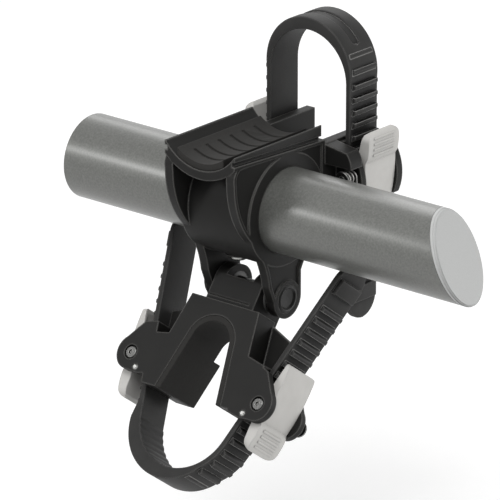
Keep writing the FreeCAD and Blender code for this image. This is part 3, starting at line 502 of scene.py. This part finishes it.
strap_rubber = Finish("dark_strap_elastomer", Specular_IOR_Level=0.15)
pores = strap_rubber.noise(1500.0, 3.0, 0.6)
dust = strap_rubber.noise(120.0, 3.0)
# Painted highlight: the strap's and teeth's outer edges are lightened, and kept off the inner corners.
outward = strap_rubber.between(0.6, 0.9, strap_rubber.open_to_light(0.0012))
strap_edge_highlight = strap_rubber.edges(0.0005, 0.08) * outward
# Painted shade: the gaps between the teeth and other corners are darkened toward black.
strap_gap_shade = (1 - strap_rubber.open_to_light(0.004)) * 3.0
rubber = strap_rubber.tint(dust, (0.02, 0.0197, 0.0192), (0.034, 0.0334, 0.0326))
rubber = strap_rubber.tint(strap_gap_shade.clamped(), rubber, (0.002, 0.002, 0.002))
strap_rubber.feed("Base Color", strap_rubber.tint(strap_edge_highlight * 0.9, rubber, (0.36, 0.356, 0.345)))
strap_rubber.feed("Roughness", 0.44 + pores * 0.2 - strap_edge_highlight * 0.08)
strap_rubber.relief(pores, 0.00004)

FLANGE_X = 112.0             # the cradle's front face, from the arm's far end
CRADLE_MIDDLE = -19.5        # from the front face
LOOP_SIDE = 47.0             # the main loop's centre, to the side of the arm
LOOP_UP = 47.0               # and above it
MAIN_TO_PIN = 38.0
main_loop = Strap(radius=21.0, splay=0.0, tail=109.0, swell=5.8, rise=3.0, lean=0.0, slotted=True)
main_place = Matrix.Translation((FLANGE_X + CRADLE_MIDDLE, LOOP_SIDE, LOOP_UP))
mould_strap("hold_down_strap", "carrier", "main_strap", main_place, main_loop, MAIN_TO_PIN, 48.0)

PIVOT_SIDE = 0.5
PIVOT_UP = -41.0
CAGE_SLANT = 36.0
PIN_LEVEL = -48.0            # the cage's pins, below its pivot
SWAY_TO_PIN = 22.0
sway_loop = Strap(radius=24.0, splay=15.0, tail=95.0, swell=6.8, rise=5.1, lean=-35.0, grips=(-72, -4))
sway_centre = PIN_LEVEL + sway_loop.frame_at(sway_loop.side + SWAY_TO_PIN).translation.z
slanted = Matrix.Rotation(math.radians(-CAGE_SLANT), 4, "X")
cage_place = Matrix.Translation((FLANGE_X, PIVOT_SIDE, PIVOT_UP)) @ slanted
crown_down = Matrix.Rotation(math.pi, 4, "X")
sway_place = cage_place @ Matrix.Translation((CRADLE_MIDDLE, 0.0, sway_centre)) @ crown_down
mould_strap("anti_sway_strap", "cage", "sway_strap", sway_place, sway_loop, SWAY_TO_PIN, 14.0)


# The levers: moulded in a light warm grey nylon with a fine satin grain. The thumb ridges and the
# edges are painted lighter than the flats as a painted highlight, and the grooves and corners are
# painted darker as painted shade.
lever_grey = Finish("light_grey_nylon", Specular_IOR_Level=0.45)
satin = lever_grey.noise(2100.0)
handling = lever_grey.noise(140.0, 3.0)
# Painted highlight: the edges are lightened.
lever_edge_highlight = lever_grey.edges(0.0008)
# Painted shade: corners and the grooves between the ridges are darkened.
lever_corner_shade = (1 - lever_grey.open_to_light(0.0045)) * 0.9
lever_groove_shade = (1 - lever_grey.open_to_light(0.0016)) * 4.0
grey_nylon = lever_grey.tint(handling, (0.47, 0.46, 0.44), (0.56, 0.55, 0.53))
grey_nylon = lever_grey.tint(lever_edge_highlight * 0.5, grey_nylon, (0.66, 0.655, 0.64))
lever_painted_shade = (lever_corner_shade | lever_groove_shade).clamped() & 0.5
lever_grey.feed("Base Color", lever_grey.tint(lever_painted_shade, grey_nylon, (0.09, 0.087, 0.083)))
lever_grey.feed("Roughness", 0.4 + satin * 0.18)
lever_grey.relief(satin, 0.00004, 0.0008)
dress(lever_grey, "lever_plastic", *[seat + "_lever" for seat in SEATS])


# The springs: each lever's torsion spring is one bright drawn wire, wound two turns and a quarter
# round the lever's pin, with a straight leg at each end. Sizes are in mm.
WIRE_R = 0.45
COIL_R = 2.75
COIL_PITCH = 2.1
COIL_END = math.radians(810)
COIL_STEPS = 108
LONG_LEG = 3.6
SHORT_LEG = 0.9
CUT_BACK = (0.0, 0.08, 0.2)  # back from a cut end
CUT_SIZE = (0.72, 0.93, 1.0)  # the wire's thickness there, in shares
WIRE_SIDES = 16
PIN_HEIGHT = 8.0             # the lever's pin, above the strap's inner face
ROOM_FACE = 13.7             # where the coil's room begins, out from the strap's middle
ROOM_GAP = 0.3


def lever_seat(strap_place, strap, to_pin, rear):
    """A buckle's own frame: x is up from the strap, y the pin's axis, z the way to the loop."""
    seat = strap.frame_at(strap.side + to_pin) @ Matrix.Scale(-1, 4, Vector((0, 0, 1)))
    if not rear:
        return strap_place @ seat
    mirrored = seat @ Matrix.Scale(-1, 4, Vector((0, 1, 0)))
    return strap_place @ Matrix.Rotation(math.pi, 4, "Z") @ mirrored


def wind_spring(piece_name, body, node, place):
    """The wire runs in along its long leg, round the pin, and out along its short one."""
    slope = COIL_PITCH / (2 * math.pi * COIL_R)
    first = -ROOM_FACE - ROOM_GAP - WIRE_R - slope * LONG_LEG

    def at(turn):
        across = first - COIL_PITCH * turn / (2 * math.pi)
        return Vector((PIN_HEIGHT + COIL_R * math.cos(turn), across, COIL_R * math.sin(turn)))

    def heading(turn):
        return Vector((-math.sin(turn), -slope, math.cos(turn))).normalized()

    long_runs = [LONG_LEG - cut for cut in CUT_BACK] + [LONG_LEG / 2, 0.3]
    short_runs = [0.35] + [SHORT_LEG - cut for cut in CUT_BACK[::-1]]
    turns = [COIL_END * i / COIL_STEPS for i in range(COIL_STEPS + 1)]
    stations = [(at(0) - heading(0) * run, 0.0) for run in long_runs]
    stations += [(at(turn), turn) for turn in turns]
    stations += [(at(COIL_END) + heading(COIL_END) * run, COIL_END) for run in short_runs]
    full = [1.0] * (len(stations) - 2 * len(CUT_SIZE))
    sizes = [*CUT_SIZE, *full, *CUT_SIZE[::-1]]
    bm = bmesh.new()
    rings = []
    for (spot, turn), size in zip(stations, sizes):
        out = Vector((math.cos(turn), 0, math.sin(turn))) * WIRE_R * size
        other = heading(turn).cross(out)
        ring = []
        for k in range(WIRE_SIDES):
            angle = 2 * math.pi * k / WIRE_SIDES
            ring.append(bm.verts.new(spot + out * math.cos(angle) + other * math.sin(angle)))
        rings.append(ring)
    skin(bm, rings)
    mesh = placed_mesh(bm, piece_name, place, 50)
    stand_in(piece_name, mesh, wire, body, node)


wire = Finish("bright_spring_wire", Metallic=1.0)
drawn = wire.noise(3500.0)
wire.feed("Base Color", wire.tint(drawn, (0.24, 0.237, 0.23), (0.38, 0.375, 0.365)))
wire.feed("Roughness", 0.3 + drawn * 0.2)
wire.relief(drawn, 0.00001)
for seat, body, strap_place, strap, to_pin in (
    ("front", "carrier", main_place, main_loop, MAIN_TO_PIN),
    ("rear", "carrier", main_place, main_loop, MAIN_TO_PIN),
    ("cage_front", "cage", sway_place, sway_loop, SWAY_TO_PIN),
    ("cage_rear", "cage", sway_place, sway_loop, SWAY_TO_PIN + TOOTH_PITCH),
):
    seat_place = lever_seat(strap_place, strap, to_pin, "rear" in seat)
    wind_spring(seat + "_coil", body, seat + "_lever_spring", seat_place)


# The cage's pivot: a headed steel pin and its nut, blacked, which turn in two grey acetal bushes
# that are pressed into the cage.
blacked = Finish("blacked_steel", Metallic=0.3, Specular_IOR_Level=0.25)
scale = blacked.noise(900.0, 3.0)
# The edges are painted lighter than the flats.
lighter_edge = blacked.edges(0.0005)
blued = blacked.tint(scale, (0.006, 0.006, 0.006), (0.014, 0.014, 0.0135))
blacked.feed("Base Color", blacked.tint(lighter_edge * 0.6, blued, (0.2, 0.2, 0.19)))
blacked.feed("Roughness", 0.34 + scale * 0.16)
blacked.relief(scale, 0.00003, 0.0006)
dress(blacked, "pivot_steel", "cage_pivot_pin", "cage_pivot_cap")

acetal = Finish("grey_acetal")
smooth_skin = acetal.noise(1300.0)
acetal.feed("Base Color", acetal.tint(smooth_skin, (0.10, 0.10, 0.10), (0.14, 0.14, 0.135)))
acetal.feed("Roughness", 0.38 + smooth_skin * 0.1)
dress(acetal, "bush_plastic", "cage_front_bush", "cage_rear_bush")


# The studio's floor and surround: a sheet of white paper that runs out of view, and white air
# round it. Both are lifted to white where they are seen, and the paper keeps the shadow.
FLOOR_HALF = 6.0
FLOOR_DROP = 0.06            # below the object's lowest point
level = cad_low.z - FLOOR_DROP
corners = [(x * FLOOR_HALF, y * FLOOR_HALF, level) for x, y in ((-1, -1), (1, -1), (1, 1), (-1, 1))]
floor_mesh = bpy.data.meshes.new("studio_floor")
floor_mesh.from_pydata(corners, [], [(0, 1, 2, 3)])
floor = bpy.data.objects.new("studio_floor", floor_mesh)
bpy.context.scene.collection.objects.link(floor)


def seen(recipe):
    """1 for what the camera sees, straight or by reflection, and 0 for light on the object."""
    rays = recipe.node("ShaderNodeLightPath")
    return (rays["Is Camera Ray"] + rays["Is Glossy Ray"] + rays["Is Transmission Ray"]).clamped()


paper = Finish("white_paper", Roughness=0.9, Specular_IOR_Level=0.1, Emission_Strength=1.0)
fibre = paper.noise(300.0)
paper.feed("Base Color", paper.tint(fibre, (0.86, 0.86, 0.86), (0.9, 0.9, 0.9)))
away = paper.node("ShaderNodeVectorMath", {"operation": "LENGTH"}, {0: paper.place()})["Value"]
glow = paper.tint(paper.between(0.4, 1.6, away), (0.3, 0.3, 0.3), (0.72, 0.72, 0.72))
paper.feed("Emission Color", paper.tint(seen(paper), (0.0, 0.0, 0.0), glow))
floor_mesh.materials.append(paper.material)

world = bpy.data.worlds.new("white_surround")
bpy.context.scene.world = world
world.use_nodes = True
air = Recipe(world, "Background", Color=(1.0, 1.0, 1.0))
air.feed("Strength", 0.3 + seen(air) * 0.7)


# The lamps: five soft square ones, all turned to the object's middle. Azimuths go round from the
# arm's side, in degrees, distances and widths are in metres, and powers in watts.
def way_to(azimuth, elevation):
    """The direction from the object to what stands there."""
    a, e = math.radians(azimuth), math.radians(elevation)
    return Vector((math.sin(a) * math.cos(e), -math.cos(a) * math.cos(e), math.sin(e)))


def lamp(name, azimuth, elevation, distance, width, power):
    light = bpy.data.lights.new(name, "AREA")
    light.size = width
    light.energy = power
    stand = bpy.data.objects.new(name, light)
    bpy.context.scene.collection.objects.link(stand)
    way = way_to(azimuth, elevation)
    stand.location = (cad_low + cad_high) / 2 + way * distance
    stand.rotation_euler = (-way).to_track_quat("-Z", "Y").to_euler()


lamp("key_lamp", azimuth=20.0, elevation=58.0, distance=0.9, width=0.5, power=5.2)
lamp("front_lamp", azimuth=-42.0, elevation=22.0, distance=0.9, width=0.15, power=1.5)
lamp("side_lamp", azimuth=100.0, elevation=20.0, distance=1.1, width=0.6, power=3.0)
lamp("low_lamp", azimuth=136.0, elevation=-8.0, distance=0.5, width=0.16, power=0.3)
lamp("back_lamp", azimuth=215.0, elevation=40.0, distance=1.1, width=0.6, power=3.0)


# The camera: it stands 40 degrees round from the arm's side and 20 degrees above, with a long
# lens. The cradle's front face is placed in the picture, and the scale holds just behind it.
AZIMUTH = 40.0
ELEVATION = 20.0
PICTURE = 500.0              # pixels across
PIXELS_PER_METRE = 2310.0
FLANGE_RIGHT = 37.0          # pixels from the picture's middle to the front face, on the arm's axis
FLANGE_UP = 40.0
BEHIND_FLANGE = 0.013
LENS = 400.0
azimuth = math.radians(AZIMUTH)
right = Vector((math.cos(azimuth), math.sin(azimuth), 0.0))
back = way_to(AZIMUTH, ELEVATION)
up = back.cross(right)
target = Vector((FLANGE_X / 1000, 0.0, 0.0)) - back * BEHIND_FLANGE
target -= (right * FLANGE_RIGHT + up * FLANGE_UP) / PIXELS_PER_METRE
camera_data = bpy.data.cameras.new("camera")
camera_data.lens = LENS
camera_data.clip_start = 0.05
camera_data.clip_end = 50.0
camera = bpy.data.objects.new("camera", camera_data)
bpy.context.scene.collection.objects.link(camera)
camera.location = target + back * (PICTURE / PIXELS_PER_METRE * LENS / camera_data.sensor_width)
camera.rotation_mode = "QUATERNION"
camera.rotation_quaternion = (-back).to_track_quat("-Z", "Y")
bpy.context.scene.camera = camera
bpy.context.scene.view_settings.view_transform = "Standard"
